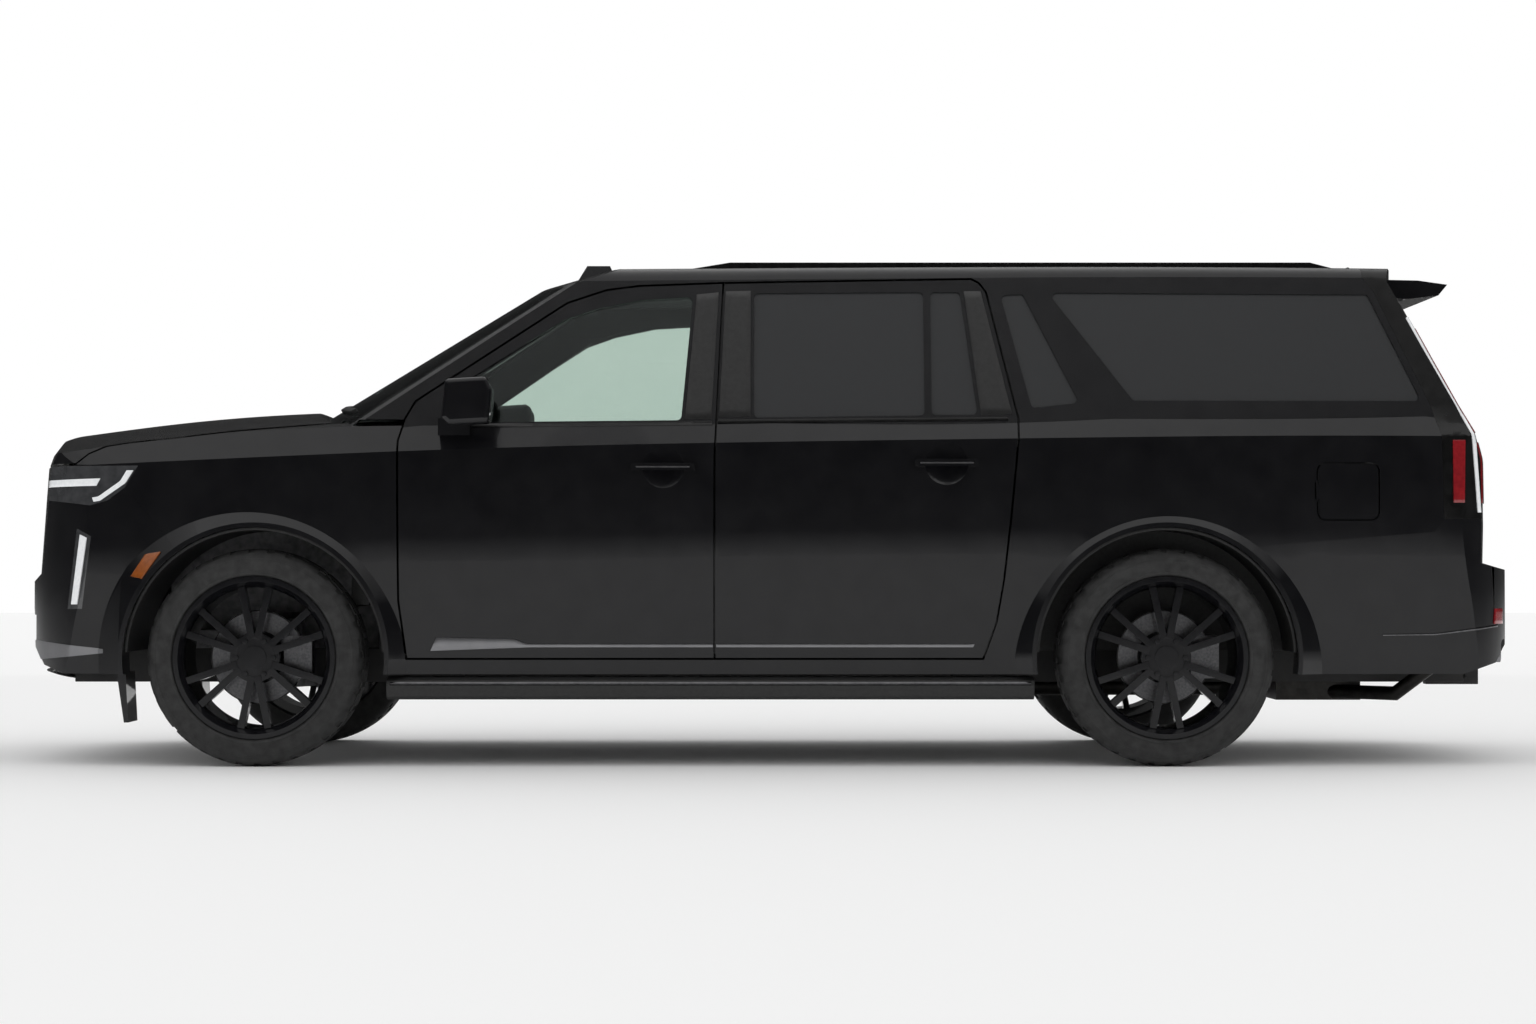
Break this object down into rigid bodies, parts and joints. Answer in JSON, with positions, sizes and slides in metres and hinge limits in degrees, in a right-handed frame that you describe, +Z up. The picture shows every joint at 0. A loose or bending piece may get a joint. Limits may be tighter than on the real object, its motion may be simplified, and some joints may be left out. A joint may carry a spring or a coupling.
{
  "type": "sport utility vehicle",
  "caption": "Long full-size sport utility vehicle with swinging doors, hood and tailgate, steered front wheels, roof rails and a rear hitch receiver.",
  "frame": {"origin": "on the ground, at the bottom centre of the bounding box", "axes": "+Z up, X along the vehicle with the nose toward -X, +Y toward the vehicle's right side"},
  "size_m": [5.7658, 2.356, 1.957],
  "materials": {
    "body_paint": "gloss",
    "clear_glass": "clear",
    "dark_glass": "privacy tint",
    "tyre_rubber": "matte",
    "rim_paint": "gloss",
    "frame_paint": "satin",
    "black_plastic": "matte",
    "gloss_trim": "gloss",
    "lamp_clear": "clear",
    "lamp_red": "gloss",
    "seat_leather": "satin",
    "cast_metal": "raw",
    "dash_plastic": "matte",
    "exhaust_steel": "satin"
  },
  "bodies": {
    "chassis": {"body_side_left": "body_paint", "body_side_right": "body_paint", "dashboard": "dash_plastic", "engine": "cast_metal", "exhaust": "exhaust_steel", "fender_left": "body_paint", "fender_right": "body_paint", "floor_pan": "frame_paint", "front_bumper": "body_paint", "front_lamps": "lamp_clear", "front_suspension": "cast_metal", "grille": "gloss_trim", "ladder_frame": "frame_paint", "quarter_glass": "dark_glass", "rear_axle": "cast_metal", "rear_bumper": "body_paint", "roof": "body_paint", "roof_rails": "gloss_trim", "running_boards": "black_plastic", "seats": "seat_leather", "tail_lamps": "lamp_red", "wheel_liners": "black_plastic", "windscreen": "clear_glass"},
    "hood": {"hood": "body_paint"},
    "tailgate": {"tailgate": "body_paint", "tailgate_glass": "dark_glass"},
    "fuel_lid": {"fuel_lid": "body_paint"},
    "steering_wheel": {"steering_wheel": "dash_plastic"},
    "front_door_left": {"front_door_left": "body_paint", "front_glass_left": "clear_glass", "mirror_left": "body_paint"},
    "rear_door_left": {"rear_door_left": "body_paint", "rear_glass_left": "dark_glass"},
    "knuckle_left": {"knuckle_left": "cast_metal"},
    "wheel_front_left": {"rim_front_left": "rim_paint", "tyre_front_left": "tyre_rubber"},
    "wheel_rear_left": {"rim_rear_left": "rim_paint", "tyre_rear_left": "tyre_rubber"},
    "front_door_right": {"front_door_right": "body_paint", "front_glass_right": "clear_glass", "mirror_right": "body_paint"},
    "rear_door_right": {"rear_door_right": "body_paint", "rear_glass_right": "dark_glass"},
    "knuckle_right": {"knuckle_right": "cast_metal"},
    "wheel_front_right": {"rim_front_right": "rim_paint", "tyre_front_right": "tyre_rubber"},
    "wheel_rear_right": {"rim_rear_right": "rim_paint", "tyre_rear_right": "tyre_rubber"}
  },
  "joints": [
    {"name": "front_door_left_hinge", "type": "hinge", "parent": "chassis", "child": "front_door_left", "pos_m": [-1.322, -0.986, 0.9], "axis": [0, 0, -1], "range_deg": [0, 65]},
    {"name": "rear_door_left_hinge", "type": "hinge", "parent": "chassis", "child": "rear_door_left", "pos_m": [-0.136, -0.986, 0.9], "axis": [0, 0, -1], "range_deg": [0, 65]},
    {"name": "steer_left", "type": "hinge", "parent": "chassis", "child": "knuckle_left", "pos_m": [-1.918, -0.82, 0.407], "axis": [0, 0, 1], "range_deg": [-34, 34]},
    {"name": "wheel_front_left_spin", "type": "hinge", "parent": "knuckle_left", "child": "wheel_front_left", "pos_m": [-1.918, -0.87, 0.407], "axis": [0, 1, 0], "continuous": true},
    {"name": "wheel_rear_left_spin", "type": "hinge", "parent": "chassis", "child": "wheel_rear_left", "pos_m": [1.489, -0.87, 0.407], "axis": [0, 1, 0], "continuous": true},
    {"name": "front_door_right_hinge", "type": "hinge", "parent": "chassis", "child": "front_door_right", "pos_m": [-1.322, 0.986, 0.9], "axis": [0, 0, 1], "range_deg": [0, 65]},
    {"name": "rear_door_right_hinge", "type": "hinge", "parent": "chassis", "child": "rear_door_right", "pos_m": [-0.136, 0.986, 0.9], "axis": [0, 0, 1], "range_deg": [0, 65]},
    {"name": "steer_right", "type": "hinge", "parent": "chassis", "child": "knuckle_right", "pos_m": [-1.918, 0.82, 0.407], "axis": [0, 0, 1], "range_deg": [-34, 34]},
    {"name": "wheel_front_right_spin", "type": "hinge", "parent": "knuckle_right", "child": "wheel_front_right", "pos_m": [-1.918, 0.87, 0.407], "axis": [0, 1, 0], "continuous": true},
    {"name": "wheel_rear_right_spin", "type": "hinge", "parent": "chassis", "child": "wheel_rear_right", "pos_m": [1.489, 0.87, 0.407], "axis": [0, 1, 0], "continuous": true},
    {"name": "hood_hinge", "type": "hinge", "parent": "chassis", "child": "hood", "pos_m": [-1.635, 0, 1.275], "axis": [0, 1, 0], "range_deg": [0, 50]},
    {"name": "tailgate_hinge", "type": "hinge", "parent": "chassis", "child": "tailgate", "pos_m": [2.2615, 0, 1.905], "axis": [0, -1, 0], "range_deg": [0, 80]},
    {"name": "fuel_lid_hinge", "type": "hinge", "parent": "chassis", "child": "fuel_lid", "pos_m": [2.052, -0.99, 1.03], "axis": [0, 0, -1], "range_deg": [0, 90]},
    {"name": "steering_wheel_turn", "type": "hinge", "parent": "chassis", "child": "steering_wheel", "pos_m": [-0.76, -0.38, 1.11], "axis": [0.9063, 0, 0.4226], "range_deg": [-515, 515]}
  ],
  "couplings": [
    {"joint": "steer_right", "follows": "steer_left", "ratio": 1},
    {"joint": "steering_wheel_turn", "follows": "steer_left", "ratio": 15}
  ]
}
